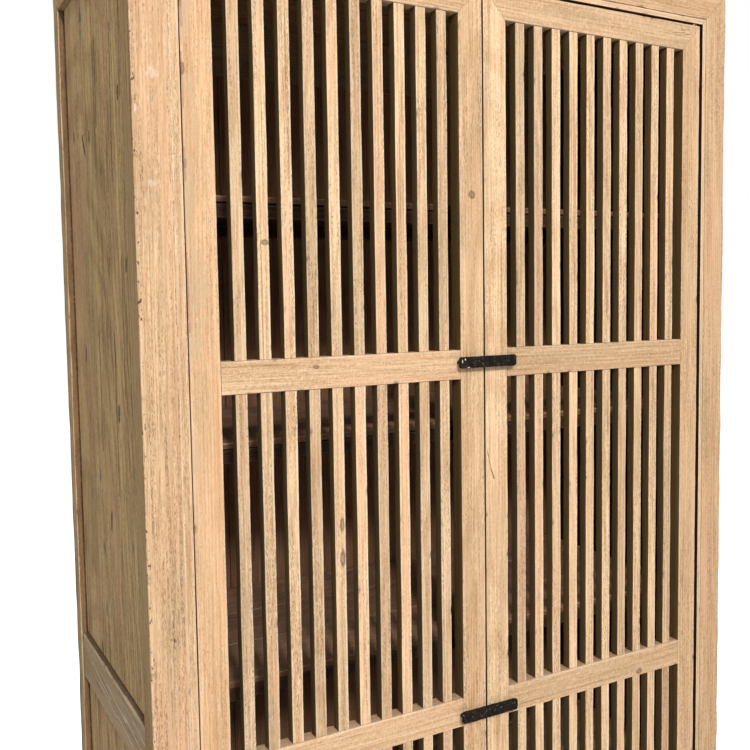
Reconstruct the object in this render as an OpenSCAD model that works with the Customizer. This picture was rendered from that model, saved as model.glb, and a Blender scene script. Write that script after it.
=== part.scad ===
// Tall slatted cabinet with two doors, hung on a wall by screws through its two back rails.
// The origin is the middle of the wall-screw pattern, on the wall plane:
// +X to the right as seen from the front, -Y out into the room, +Z up.

/* [Case] */
// Overall width
case_w = 1000; // [940:10:1100]
// Overall depth, from the wall to the face of the front posts
case_d = 475; // [400:5:520]
// Overall height
case_h = 1700; // [1600:10:1800]
// Width of a front post on the front face, without its bead
post_w = 47; // [42:1:56]
// Depth of a post on the side face, and height of the side top and bottom rails
post_d = 40; // [36:1:46]
// Width of a back post, measured along the wall
back_post_w = 40; // [38:1:46]
// Thickness of the front rails, side rails, back rails and doors
frame_t = 24; // [22:1:28]
// Width of the bead strip round the door opening
bead_w = 9.5; // [8:0.5:12]
// Height of the middle rail of each side
side_rail_h = 73; // [60:1:80]
// Height of the middle of that rail above the underside of the case
side_rail_z = 625; // [600:1:660]
// How far that rail lies behind the outer faces of the posts
side_rail_set_in = 3.5; // [1:0.5:5]

/* [Panels] */
// Depth of every groove that holds a panel edge
groove = 6; // [4:1:8]
// Thickness of the side, top and back panels
panel_t = 10; // [8:1:12]
// How far the side panels lie behind the faces of their frames
panel_recess = 10; // [8:1:10]
// Distance from the top of the case down to the top panel
top_panel_drop = 10; // [8:1:16]
// Number of vertical boards in the back
back_boards_n = 8; // [5:1:10]
// Height of the two back rails that carry the wall screws
back_rail_h = 110; // [100:1:120]

/* [Wall screws] */
// Radius of the holes for the wall screws
wall_hole_r = 4.5; // [3:0.5:5]
// Spacing of the holes along the wall
wall_hole_dx = 700; // [400:10:760]
// Distance of a row of holes from the top or the underside of the case
wall_hole_in = 85; // [75:5:95]

/* [Shelves] */
// Height of the top of the highest shelf
shelf_top_z = 1341; // [1330:1:1350]
// Vertical spacing of the shelves
shelf_pitch = 326; // [300:1:326]
// Height of the top of the case floor
floor_z = 54; // [50:1:56]
// Thickness of the shelf and floor boards
shelf_t = 10; // [8:1:12]
// Number of boards in a shelf or the floor, front to back
shelf_boards_n = 3; // [2:1:5]
// Distance from the front of the case to the front edge of a shelf
shelf_front = 66; // [50:1:100]
// Height of the bearers and cleats under the boards
bearer_h = 20; // [18:1:24]
// Depth of a bearer, front to back
bearer_d = 22; // [18:1:28]
// Width of a side cleat
cleat_w = 30; // [26:1:36]

/* [Doors] */
// Gap between a door and the bead on its hinge side
hinge_gap = 3.5; // [3.2:0.1:4]
// Gap above and below each door
end_gap = 3; // [2.5:0.1:4]
// Gap between the two doors
seam_gap = 2.5; // [2:0.1:3]
// Width of the door stiles
stile_w = 40; // [36:1:44]
// Height of every door rail
door_rail_h = 42; // [36:1:46]
// Number of slats in a row
slat_n = 10; // [8:1:10]
// Distance from the middle of one slat to the middle of the next
slat_pitch = 33.9; // [32:0.1:36]
// Width of a slat
slat_w = 17; // [14:1:18]
// Depth of a slat, front to back
slat_d = 16; // [12:1:17]
// How far the slats lie behind the face of the door
slat_set_back = 1.5; // [0.5:0.5:2]

/* [Pivots] */
// Radius of the pivot pins
pin_r = 4; // [3:0.5:4]
// Radial clearance between a pin and its bush
pin_clearance = 0.05; // [0.02:0.01:0.08]
// Wall thickness of a bush
bush_wall = 1.95; // [1:0.05:1.95]
// Length of a bush
bush_l = 20; // [12:1:24]
// Distance of the pivot axis from the outer edge of the door
pivot_in = 10; // [9:0.5:10]
// Distance of the pivot axis behind the face of the door
pivot_back = 8; // [7.5:0.5:8]

/* [Pulls] */
// Length of the pull on one door
pull_l = 50; // [46:1:56]
// Height of a pull
pull_h = 17; // [14:1:20]
// Thickness of a pull, front to back
pull_t = 8; // [7:1:10]
// Gap between a pull and the face of the door
pull_gap = 5; // [4:1:8]
// Corner radius at the outer end of a pull
pull_corner = 5; // [2:0.5:6]
// How far the pulls are set off the middles of their rails, away from each other
pull_spread = 3.5; // [0:0.5:6]
// Radius of the posts that join a pull to the door
pull_post_r = 4; // [3:0.5:5]
// Radius of the screws that hold the pulls
pull_screw_r = 2; // [1.5:0.5:2.5]

/* [Catches] */
// Width of a magnet catch
catch_w = 40; // [30:2:50]
// Depth of a magnet catch, front to back
catch_d = 14; // [12:1:18]
// Thickness of a strike plate
strike_t = 1.5; // [1:0.5:2]
// Radius of the screws that hold a catch
catch_screw_r = 1.5; // [1:0.5:2]

/* [Hidden] */
$fn = 48;
through = 1;
shelf_n = 4;
rows_n = 3;
half_w = case_w / 2;
post_x = half_w - post_w;
open_x = post_x - bead_w;
side_x = half_w - frame_t;
panel_out_x = half_w - panel_recess;
panel_in_x = panel_out_x - panel_t;
back_post_x = half_w - back_post_w;
back_post_y = case_d - post_d;
back_rail_y = case_d - frame_t;
back_panel_inset = 6;
back_panel_y = back_rail_y + back_panel_inset;
side_rail_lo = side_rail_z - side_rail_h / 2;
side_rail_hi = side_rail_z + side_rail_h / 2;
frame_bottom = post_w;
frame_top = case_h - post_w;
door_lo = frame_bottom + bead_w + end_gap;
door_hi = frame_top - bead_w - end_gap;
door_out_x = open_x - hinge_gap;
door_in_x = seam_gap / 2;
hinge_stile_x = door_out_x - stile_w;
meeting_stile_x = door_in_x + stile_w;
row_h = (door_hi - door_lo - (rows_n + 1) * door_rail_h) / rows_n;
row_pitch = row_h + door_rail_h;
first_slat_x = (hinge_stile_x + meeting_stile_x + (slat_n - 1) * slat_pitch) / 2;
pivot_x = door_out_x - pivot_in;
bush_r = pin_r + pin_clearance + bush_wall;
pin_end_play = 3.5;
pin_reach = bush_l - pin_end_play;
pin_root = 17;
collar_play = 0.1;
collar_rim = 1;
tenon_l = 14;
tenon_t = 8;
tenon_shoulder = 9;
slat_tenon_l = 6;
slat_tenon_shoulder = 4;
slat_tenon_w = slat_w - 2 * slat_tenon_shoulder;
slat_tenon_t = slat_d - 2 * slat_tenon_shoulder;
side_tenon_l = 20;
side_tenon_shoulder = 16;
side_tenon_h = side_rail_h - 2 * side_tenon_shoulder;
side_tenon_x = half_w - tenon_t;
back_tenon_shoulder = 25;
back_tenon_h = back_rail_h - 2 * back_tenon_shoulder;
back_tenon_y = back_rail_y + tenon_t;
cleat_in_x = side_x - cleat_w;
cleat_tenon_l = 8;
cleat_tenon_shoulder = 4;
cleat_tenon_x = side_x - cleat_tenon_shoulder;
cleat_tenon_w = 10;
bearer_tenon_l = 8;
bearer_tenon = 12;
shelf_overhang = 4;
bearer_y = shelf_front + shelf_overhang;
rear_bearer_gap = 10;
rear_bearer_y = back_post_y - bearer_d - rear_bearer_gap;
levels = concat([floor_z], [for (i = [0 : shelf_n - 1]) shelf_top_z - i * shelf_pitch]);
board_gap = 0.6;
post_play = 1;
pull_from_seam = 0.5;
inner_screw_x = 12;
outer_screw_in = 5;
pull_screws = [inner_screw_x, pull_l - outer_screw_in];
pull_screw_depth = 5;
screw_head_r = 3.5;
screw_head_h = 2.5;
catch_from_seam = 30;
catch_up = 21.5;
catch_down = 30;
catch_face_gap = 0.2;
catch_screw_in = 10;
catch_screw_up = 14;
catch_screw_l = 26;
strike_margin = 2;

pale_wood = [0.86, 0.72, 0.55];
bead_wood = [0.82, 0.66, 0.50];
side_wood = [0.72, 0.62, 0.46];
inner_wood = [0.48, 0.38, 0.32];
black_iron = [0.09, 0.09, 0.09];
bright_steel = [0.62, 0.62, 0.60];
bush_brass = [0.72, 0.58, 0.30];

// ---------- building blocks, with the front of the case at Y 0 and its underside at Z 0

// Moves the finished piece so that the wall-screw pattern's centre is the origin
module from_wall() {
  translate([0, -case_d, -case_h / 2]) children();
}

// A block between two opposite corners
module block(low, high) {
  translate(low) cube(high - low);
}

// An outline of [x, z] points, extruded from front y0 to back y1
module slab_y(y0, y1, outline) {
  translate([0, y1, 0]) rotate([90, 0, 0]) linear_extrude(y1 - y0) polygon(outline);
}

// An outline of [y, z] points, extruded from x0 to x1
module slab_x(x0, x1, outline) {
  translate([x0, 0, 0]) rotate([90, 0, 90]) linear_extrude(x1 - x0) polygon(outline);
}

// A round bar along Y
module bar_y(x, z, y0, y1, r) {
  translate([x, y1, z]) rotate([90, 0, 0]) cylinder(h = y1 - y0, r = r);
}

// The same thing at the top and, turned upside down, at the bottom of the case
module top_and_bottom() {
  children();
  translate([0, 0, case_h]) mirror([0, 0, 1]) children();
}

// The right-hand twin of a left-hand piece
module right_hand() {
  mirror([1, 0, 0]) children();
}

// ---------- case frame

// Space cut from the top of a post by the mitred front rail
module front_mitre_cut() {
  slab_y(0, frame_t, [[-half_w, case_h], [-post_x, frame_top], [-post_x, case_h]]);
}

// Space cut from the top of the posts by the mitred side rail
module side_mitre_cut() {
  slab_x(-half_w, -side_x, [
    [0, case_h], [post_d, case_h - post_d], [back_post_y, case_h - post_d], [case_d, case_h]]);
}

module side_mid_rail_tenons() {
  block([-side_tenon_x, post_d - side_tenon_l, side_rail_z - side_tenon_h / 2],
        [-side_tenon_x + tenon_t, back_post_y + side_tenon_l, side_rail_z + side_tenon_h / 2]);
}

module side_upper_panel() {
  color(side_wood) block([-panel_out_x, post_d - groove, side_rail_hi - groove],
                         [-panel_in_x, back_post_y + groove, case_h - post_d + groove]);
}

module side_lower_panel() {
  color(side_wood) block([-panel_out_x, post_d - groove, post_d - groove],
                         [-panel_in_x, back_post_y + groove, side_rail_lo + groove]);
}

module cleat_tenons() {
  for (top = levels)
    block([-cleat_tenon_x, post_d - cleat_tenon_l, top - shelf_t - bearer_h + cleat_tenon_shoulder],
          [-cleat_tenon_x + cleat_tenon_w, back_post_y + cleat_tenon_l,
           top - shelf_t - cleat_tenon_shoulder]);
}

module back_rail_tenons() {
  top_and_bottom()
    block([-back_post_x - side_tenon_l, back_tenon_y, case_h - back_rail_h / 2 - back_tenon_h / 2],
          [back_post_x + side_tenon_l, back_tenon_y + tenon_t,
           case_h - back_rail_h / 2 + back_tenon_h / 2]);
}

module front_post() {
  color(pale_wood) difference() {
    block([-half_w, 0, 0], [-post_x, post_d, case_h]);
    top_and_bottom() front_mitre_cut();
    top_and_bottom() side_mitre_cut();
    side_upper_panel();
    side_lower_panel();
    side_mid_rail_tenons();
    cleat_tenons();
  }
}

module back_post() {
  color(side_wood) difference() {
    block([-half_w, back_post_y, 0], [-back_post_x, case_d, case_h]);
    top_and_bottom() side_mitre_cut();
    side_upper_panel();
    side_lower_panel();
    side_mid_rail_tenons();
    cleat_tenons();
    back_rail_tenons();
    back_panel_space();
  }
}

module front_rail_body() {
  intersection() {
    slab_y(0, frame_t, [
      [-half_w, case_h], [half_w, case_h], [post_x, frame_top], [-post_x, frame_top]]);
    linear_extrude(case_h) polygon([
      [-half_w, 0], [half_w, 0], [side_x, frame_t], [-side_x, frame_t]]);
  }
}

module front_top_rail() {
  color(pale_wood) difference() {
    front_rail_body();
    top_panel_space();
    pivot_pins();
    catch_screws();
  }
}

module front_bottom_rail() {
  color(pale_wood) difference() {
    translate([0, 0, case_h]) mirror([0, 0, 1]) front_rail_body();
    pivot_pins();
  }
}

module side_rail_body() {
  intersection() {
    side_mitre_cut();
    linear_extrude(case_h) polygon([
      [-half_w, 0], [-side_x, frame_t], [-side_x, case_d], [-half_w, case_d]]);
  }
}

module side_top_rail() {
  color(side_wood) difference() {
    side_rail_body();
    side_upper_panel();
    top_panel_space();
  }
}

module side_bottom_rail() {
  color(side_wood) difference() {
    translate([0, 0, case_h]) mirror([0, 0, 1]) side_rail_body();
    side_lower_panel();
  }
}

module side_mid_rail() {
  color(side_wood) difference() {
    union() {
      block([-half_w + side_rail_set_in, post_d, side_rail_lo],
            [-side_x, back_post_y, side_rail_hi]);
      side_mid_rail_tenons();
    }
    side_upper_panel();
    side_lower_panel();
  }
}

// ---------- bead round the door opening

module bead_side() {
  color(bead_wood) slab_y(0, frame_t, [
    [-post_x, frame_bottom], [-open_x, frame_bottom + bead_w],
    [-open_x, frame_top - bead_w], [-post_x, frame_top]]);
}

module bead_end() {
  slab_y(0, frame_t, [
    [-post_x, frame_top], [post_x, frame_top],
    [open_x, frame_top - bead_w], [-open_x, frame_top - bead_w]]);
}

module bead_top() {
  color(bead_wood) difference() {
    bead_end();
    pivot_pins();
  }
}

module bead_bottom() {
  color(bead_wood) difference() {
    translate([0, 0, case_h]) mirror([0, 0, 1]) bead_end();
    pivot_pins();
  }
}

// ---------- back, top and floor

module wall_holes() {
  for (x = [-wall_hole_dx / 2, wall_hole_dx / 2])
    for (z = [wall_hole_in, case_h - wall_hole_in])
      bar_y(x, z, back_rail_y - through, case_d + through, wall_hole_r);
}

module back_panel_space() {
  block([-back_post_x - groove, back_panel_y, back_rail_h - groove],
        [back_post_x + groove, back_panel_y + panel_t, case_h - back_rail_h + groove]);
}

module hanging_rail_body() {
  block([-back_post_x, back_rail_y, case_h - back_rail_h], [back_post_x, case_d, case_h]);
}

module hanging_rail_top() {
  color(inner_wood) difference() {
    union() {
      hanging_rail_body();
      intersection() {
        back_rail_tenons();
        block([-half_w, 0, case_h / 2], [half_w, case_d, case_h]);
      }
    }
    wall_holes();
    back_panel_space();
    top_panel_space();
  }
}

module hanging_rail_bottom() {
  color(inner_wood) difference() {
    union() {
      translate([0, 0, case_h]) mirror([0, 0, 1]) hanging_rail_body();
      intersection() {
        back_rail_tenons();
        block([-half_w, 0, 0], [half_w, case_d, case_h / 2]);
      }
    }
    wall_holes();
    back_panel_space();
  }
}

module back_boards() {
  width = 2 * (back_post_x + groove) / back_boards_n;
  color(inner_wood)
    for (i = [0 : back_boards_n - 1])
      block([-back_post_x - groove + i * width + (i > 0 ? board_gap : 0), back_panel_y,
             back_rail_h - groove],
            [-back_post_x - groove + (i + 1) * width, back_panel_y + panel_t,
             case_h - back_rail_h + groove]);
}

// The four posts with a little play, for boards that are notched round them
module post_notches() {
  for (side = [0, 1])
    mirror([side, 0, 0]) {
      block([-half_w, -post_play, -through],
            [-post_x + post_play, post_d + post_play, case_h + through]);
      block([-half_w, back_post_y - post_play, -through],
            [-back_post_x + post_play, case_d + post_play, case_h + through]);
    }
}

module top_panel_space() {
  block([-side_x - groove, frame_t - groove, case_h - top_panel_drop - panel_t],
        [side_x + groove, back_rail_y + groove, case_h - top_panel_drop]);
}

module top_panel() {
  color(side_wood) difference() {
    top_panel_space();
    post_notches();
  }
}

// Boards that run the width of the case, from y0 to the back rails
module cross_boards(top, y0) {
  depth = (back_rail_y - y0) / shelf_boards_n;
  color(inner_wood) difference() {
    for (i = [0 : shelf_boards_n - 1])
      block([-side_x + post_play, y0 + i * depth + (i > 0 ? board_gap : 0), top - shelf_t],
            [side_x - post_play, y0 + (i + 1) * depth, top]);
    post_notches();
  }
}

module floor_boards() {
  cross_boards(floor_z, frame_t);
}

module shelf(number) {
  cross_boards(levels[number], shelf_front);
}

module shelf_bearer_tenons() {
  for (top = levels)
    for (y = [bearer_y, rear_bearer_y])
      block([-cleat_in_x - bearer_tenon_l, y + bearer_d / 2 - bearer_tenon / 2,
             top - shelf_t - bearer_h / 2 - bearer_tenon / 2],
            [cleat_in_x + bearer_tenon_l, y + bearer_d / 2 + bearer_tenon / 2,
             top - shelf_t - bearer_h / 2 + bearer_tenon / 2]);
}

module shelf_bearers() {
  color(inner_wood) {
    for (top = levels)
      for (y = [bearer_y, rear_bearer_y])
        block([-cleat_in_x, y, top - shelf_t - bearer_h], [cleat_in_x, y + bearer_d, top - shelf_t]);
    shelf_bearer_tenons();
  }
}

module shelf_cleats() {
  color(inner_wood)
    for (side = [0, 1])
      mirror([side, 0, 0]) difference() {
        union() {
          for (top = levels)
            block([-side_x, post_d, top - shelf_t - bearer_h],
                  [-cleat_in_x, back_post_y, top - shelf_t]);
          cleat_tenons();
        }
        shelf_bearer_tenons();
      }
}

// ---------- pivots and catches

// One shouldered pin under the lower outer corner of the left door
module pivot_pin() {
  translate([-pivot_x, pivot_back, 0]) {
    translate([0, 0, door_lo - end_gap - bead_w - pin_root])
      cylinder(h = pin_root + bead_w + end_gap + pin_reach, r = pin_r);
    translate([0, 0, door_lo - end_gap]) cylinder(h = end_gap - collar_play, r = bush_r + collar_rim);
  }
}

module pivot_pins() {
  color(bright_steel)
    for (side = [0, 1])
      mirror([side, 0, 0]) top_and_bottom() pivot_pin();
}

module catch_screws() {
  z = door_hi + end_gap + catch_screw_up;
  y = frame_t + catch_d;
  color(bright_steel)
    for (side = [0, 1])
      mirror([side, 0, 0])
        for (x = [catch_from_seam + catch_screw_in, catch_from_seam + catch_w - catch_screw_in]) {
          bar_y(-x, z, y - catch_screw_l, y, catch_screw_r);
          bar_y(-x, z, y, y + screw_head_h, screw_head_r);
        }
}

module magnet_catches() {
  far = catch_from_seam + catch_w;
  middle = door_hi + end_gap;
  color(inner_wood) difference() {
    for (side = [0, 1])
      mirror([side, 0, 0]) {
        block([-far, frame_t, middle], [-catch_from_seam, frame_t + catch_d, middle + catch_up]);
        block([-far, frame_t + strike_t + catch_face_gap, middle - catch_down],
              [-catch_from_seam, frame_t + catch_d, middle]);
      }
    catch_screws();
  }
}

// ---------- doors, drawn for the left door

module door_bushes_space() {
  top_and_bottom() translate([-pivot_x, pivot_back, door_lo]) cylinder(h = bush_l, r = bush_r);
}

module pivot_bushes() {
  color(bush_brass)
    top_and_bottom() translate([-pivot_x, pivot_back, door_lo]) difference() {
      cylinder(h = bush_l, r = bush_r);
      translate([0, 0, -through])
        cylinder(h = bush_l + 2 * through, r = pin_r + pin_clearance);
    }
}

// Height of the underside of a rail: 0 is the bottom rail and rows_n is the top rail
function rail_z(number) = door_lo + number * row_pitch;

module door_rail_tenons() {
  for (number = [1 : rows_n - 1])
    block([-hinge_stile_x - tenon_l, tenon_t, rail_z(number) + tenon_shoulder],
          [-meeting_stile_x + tenon_l, 2 * tenon_t, rail_z(number) + door_rail_h - tenon_shoulder]);
}

module hinge_stile() {
  color(pale_wood) difference() {
    slab_y(0, frame_t, [
      [-door_out_x, door_lo], [-hinge_stile_x, door_lo + door_rail_h],
      [-hinge_stile_x, door_hi - door_rail_h], [-door_out_x, door_hi]]);
    door_rail_tenons();
    door_bushes_space();
  }
}

module meeting_stile() {
  color(pale_wood) difference() {
    slab_y(0, frame_t, [
      [-door_in_x, door_lo], [-door_in_x, door_hi],
      [-meeting_stile_x, door_hi - door_rail_h], [-meeting_stile_x, door_lo + door_rail_h]]);
    door_rail_tenons();
    pull_screws_body();
  }
}

// Distance from the seam to the middle of a slat: 0 is the slat by the hinge stile
function slat_x(i) = first_slat_x - i * slat_pitch;

// Row 0 is the lowest row of slats
module slat_tenons(row) {
  y = slat_set_back + slat_d / 2;
  for (i = [0 : slat_n - 1])
    block([-slat_x(i) - slat_tenon_w / 2, y - slat_tenon_t / 2,
           rail_z(row) + door_rail_h - slat_tenon_l],
          [-slat_x(i) + slat_tenon_w / 2, y + slat_tenon_t / 2, rail_z(row + 1) + slat_tenon_l]);
}

module slats(row) {
  color(pale_wood) {
    for (i = [0 : slat_n - 1])
      block([-slat_x(i) - slat_w / 2, slat_set_back, rail_z(row) + door_rail_h],
            [-slat_x(i) + slat_w / 2, slat_set_back + slat_d, rail_z(row + 1)]);
    slat_tenons(row);
  }
}

module end_rail_body() {
  slab_y(0, frame_t, [
    [-door_out_x, door_hi], [-door_in_x, door_hi],
    [-meeting_stile_x, door_hi - door_rail_h], [-hinge_stile_x, door_hi - door_rail_h]]);
}

module top_rail() {
  color(pale_wood) difference() {
    end_rail_body();
    slat_tenons(rows_n - 1);
    door_bushes_space();
  }
}

module bottom_rail() {
  color(pale_wood) difference() {
    translate([0, 0, case_h]) mirror([0, 0, 1]) end_rail_body();
    slat_tenons(0);
    door_bushes_space();
  }
}

module middle_rail(number) {
  color(pale_wood) difference() {
    union() {
      block([-hinge_stile_x, 0, rail_z(number)],
            [-meeting_stile_x, frame_t, rail_z(number) + door_rail_h]);
      intersection() {
        door_rail_tenons();
        block([-half_w, 0, rail_z(number)], [half_w, frame_t, rail_z(number) + door_rail_h]);
      }
    }
    slat_tenons(number - 1);
    slat_tenons(number);
    pull_screws_body();
  }
}

// ---------- pulls: a bar for each rail, split at the seam between the doors

function pull_z(number) =
  rail_z(number) + door_rail_h / 2 + (number < rows_n / 2 ? -pull_spread : pull_spread);

module pull_screws_body() {
  for (number = [1 : rows_n - 1])
    for (x = pull_screws) {
      bar_y(-x, pull_z(number), -pull_gap - pull_screw_depth, frame_t, pull_screw_r);
      bar_y(-x, pull_z(number), frame_t, frame_t + screw_head_h, screw_head_r);
    }
}

module pull_screws_group() {
  color(bright_steel) pull_screws_body();
}

// Outline of a pull: square at the seam, rounded at its outer end
module pull_outline() {
  translate([-pull_from_seam - pull_l + pull_corner, -pull_h / 2])
    square([pull_l - pull_corner, pull_h]);
  translate([-pull_from_seam - pull_l, -pull_h / 2 + pull_corner])
    square([pull_corner, pull_h - 2 * pull_corner]);
  for (z = [-pull_h / 2 + pull_corner, pull_h / 2 - pull_corner])
    translate([-pull_from_seam - pull_l + pull_corner, z]) circle(r = pull_corner);
}

module pulls() {
  color(black_iron) difference() {
    for (number = [1 : rows_n - 1]) {
      translate([0, -pull_gap, pull_z(number)])
        rotate([90, 0, 0]) linear_extrude(pull_t) pull_outline();
      for (x = pull_screws)
        bar_y(-x, pull_z(number), -pull_gap, 0, pull_post_r);
    }
    pull_screws_body();
  }
}

module strike_plate() {
  color(bright_steel)
    block([-catch_from_seam - catch_w + strike_margin, frame_t,
           door_hi - catch_down + 2 * strike_margin],
          [-catch_from_seam - strike_margin, frame_t + strike_t, door_hi - strike_margin]);
}

// ---------- the pieces

from_wall() front_post();  // front_post_left
from_wall() right_hand() front_post();  // front_post_right
from_wall() front_top_rail();
from_wall() front_bottom_rail();
from_wall() bead_side();  // bead_left
from_wall() right_hand() bead_side();  // bead_right
from_wall() bead_top();
from_wall() bead_bottom();
from_wall() back_post();  // back_post_left
from_wall() right_hand() back_post();  // back_post_right
from_wall() side_top_rail();  // side_top_rail_left
from_wall() right_hand() side_top_rail();  // side_top_rail_right
from_wall() side_mid_rail();  // side_mid_rail_left
from_wall() right_hand() side_mid_rail();  // side_mid_rail_right
from_wall() side_bottom_rail();  // side_bottom_rail_left
from_wall() right_hand() side_bottom_rail();  // side_bottom_rail_right
from_wall() side_upper_panel();  // side_upper_panel_left
from_wall() right_hand() side_upper_panel();  // side_upper_panel_right
from_wall() side_lower_panel();  // side_lower_panel_left
from_wall() right_hand() side_lower_panel();  // side_lower_panel_right
from_wall() hanging_rail_top();
from_wall() hanging_rail_bottom();
from_wall() back_boards();
from_wall() top_panel();
from_wall() floor_boards();
from_wall() shelf(1);  // shelf_1
from_wall() shelf(2);  // shelf_2
from_wall() shelf(3);  // shelf_3
from_wall() shelf(4);  // shelf_4
from_wall() shelf_bearers();
from_wall() shelf_cleats();
from_wall() pivot_pins();
from_wall() magnet_catches();
from_wall() catch_screws();

from_wall() hinge_stile();  // left_hinge_stile
from_wall() meeting_stile();  // left_meeting_stile
from_wall() top_rail();  // left_top_rail
from_wall() middle_rail(2);  // left_upper_rail
from_wall() middle_rail(1);  // left_lower_rail
from_wall() bottom_rail();  // left_bottom_rail
from_wall() slats(2);  // left_slats_top
from_wall() slats(1);  // left_slats_middle
from_wall() slats(0);  // left_slats_bottom
from_wall() pulls();  // left_pulls
from_wall() pull_screws_group();  // left_pull_screws
from_wall() pivot_bushes();  // left_pivot_bushes
from_wall() strike_plate();  // left_strike_plate

from_wall() right_hand() hinge_stile();  // right_hinge_stile
from_wall() right_hand() meeting_stile();  // right_meeting_stile
from_wall() right_hand() top_rail();  // right_top_rail
from_wall() right_hand() middle_rail(2);  // right_upper_rail
from_wall() right_hand() middle_rail(1);  // right_lower_rail
from_wall() right_hand() bottom_rail();  // right_bottom_rail
from_wall() right_hand() slats(2);  // right_slats_top
from_wall() right_hand() slats(1);  // right_slats_middle
from_wall() right_hand() slats(0);  // right_slats_bottom
from_wall() right_hand() pulls();  // right_pulls
from_wall() right_hand() pull_screws_group();  // right_pull_screws
from_wall() right_hand() pivot_bushes();  // right_pivot_bushes
from_wall() right_hand() strike_plate();  // right_strike_plate
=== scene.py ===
"""Tall slatted cabinet with two doors: worn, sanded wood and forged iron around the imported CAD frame."""

import math
import random

import bmesh
import bpy
from mathutils import Matrix, Vector, noise


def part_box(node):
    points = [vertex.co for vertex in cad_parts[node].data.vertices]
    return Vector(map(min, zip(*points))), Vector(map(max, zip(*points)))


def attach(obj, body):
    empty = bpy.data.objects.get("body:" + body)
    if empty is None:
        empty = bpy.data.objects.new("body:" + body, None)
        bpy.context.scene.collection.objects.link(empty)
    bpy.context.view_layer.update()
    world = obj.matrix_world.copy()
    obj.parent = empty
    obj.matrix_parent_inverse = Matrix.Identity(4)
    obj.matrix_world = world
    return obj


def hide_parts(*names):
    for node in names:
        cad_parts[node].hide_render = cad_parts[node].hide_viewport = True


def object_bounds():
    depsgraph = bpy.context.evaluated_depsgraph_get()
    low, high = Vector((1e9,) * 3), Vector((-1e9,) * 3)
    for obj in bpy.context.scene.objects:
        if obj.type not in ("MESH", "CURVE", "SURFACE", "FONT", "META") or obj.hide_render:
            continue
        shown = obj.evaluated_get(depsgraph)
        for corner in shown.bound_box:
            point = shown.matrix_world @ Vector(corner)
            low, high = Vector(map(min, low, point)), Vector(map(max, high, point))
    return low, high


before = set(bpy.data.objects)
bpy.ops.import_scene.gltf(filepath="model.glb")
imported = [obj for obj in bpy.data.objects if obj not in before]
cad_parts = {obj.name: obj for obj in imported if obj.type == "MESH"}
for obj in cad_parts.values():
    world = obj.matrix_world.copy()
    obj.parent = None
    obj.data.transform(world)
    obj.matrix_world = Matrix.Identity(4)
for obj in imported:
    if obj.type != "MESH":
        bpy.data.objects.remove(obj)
cad_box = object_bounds()

MM = 0.001
X, Y, Z = 0, 1, 2
AXES = (Vector((1, 0, 0)), Vector((0, 1, 0)), Vector((0, 0, 1)))
FRONT = Vector((0, -1, 0))
OUTWARD = {"left": -1, "right": 1}
CORNER_STEPS = 4
CORNER_POINTS = CORNER_STEPS + 3  # an arc's points and two more on the side that follows it
RING_GAP = 3.8 * MM
EDGE_BAND = 2.2 * MM
MIX_COLOURS, MIX_RESULT = (6, 7), 2  # the colour sockets' numbers on a Mix node


def mm(*values):
    return tuple(value * MM for value in values)


# ---------- camera, light and floor


def make_camera():
    """A camera standing to the left of the doors, a little above the middle, turned slightly down."""
    place = Vector((-0.7745, -1.5472, 0.3548))
    yaw, pitch, roll = (math.radians(a) for a in (28.82, 4.10, -0.88))
    ahead = Vector((math.sin(yaw) * math.cos(pitch), math.cos(yaw) * math.cos(pitch), -math.sin(pitch)))
    level = Vector((math.cos(yaw), -math.sin(yaw), 0))
    upright = level.cross(ahead)
    right = level * math.cos(roll) + upright * math.sin(roll)
    up = upright * math.cos(roll) - level * math.sin(roll)
    data = bpy.data.cameras.new("camera")
    data.sensor_width = 36
    data.lens = 43.50
    data.shift_x = 0.0024
    data.shift_y = -0.0171
    camera = bpy.data.objects.new("camera", data)
    turn = Matrix((right, up, -ahead)).transposed().to_4x4()
    camera.matrix_world = Matrix.Translation(place) @ turn
    bpy.context.scene.collection.objects.link(camera)
    bpy.context.scene.camera = camera


def area_light(name, place, target, size, power, colour):
    data = bpy.data.lights.new(name, "AREA")
    data.size = size
    data.energy = power
    data.color = colour
    light = bpy.data.objects.new(name, data)
    light.location = place
    light.rotation_euler = (Vector(target) - Vector(place)).to_track_quat("-Z", "Y").to_euler()
    bpy.context.scene.collection.objects.link(light)


def make_world(sky, background):
    """White behind the cabinet, with a softer white for its light."""
    world = bpy.data.worlds.new("studio")
    world.use_nodes = True
    bpy.context.scene.world = world
    tree = world.node_tree
    tree.nodes.clear()
    out = tree.nodes.new("ShaderNodeOutputWorld")
    mix = tree.nodes.new("ShaderNodeMixShader")
    path = tree.nodes.new("ShaderNodeLightPath")
    shades = []
    for strength in (sky, background):
        shade = tree.nodes.new("ShaderNodeBackground")
        shade.inputs["Color"].default_value = (1.0, 1.0, 1.0, 1.0)
        shade.inputs["Strength"].default_value = strength
        shades.append(shade)
    tree.links.new(path.outputs["Is Camera Ray"], mix.inputs["Fac"])
    tree.links.new(shades[0].outputs[0], mix.inputs[1])
    tree.links.new(shades[1].outputs[0], mix.inputs[2])
    tree.links.new(mix.outputs[0], out.inputs["Surface"])


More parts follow.
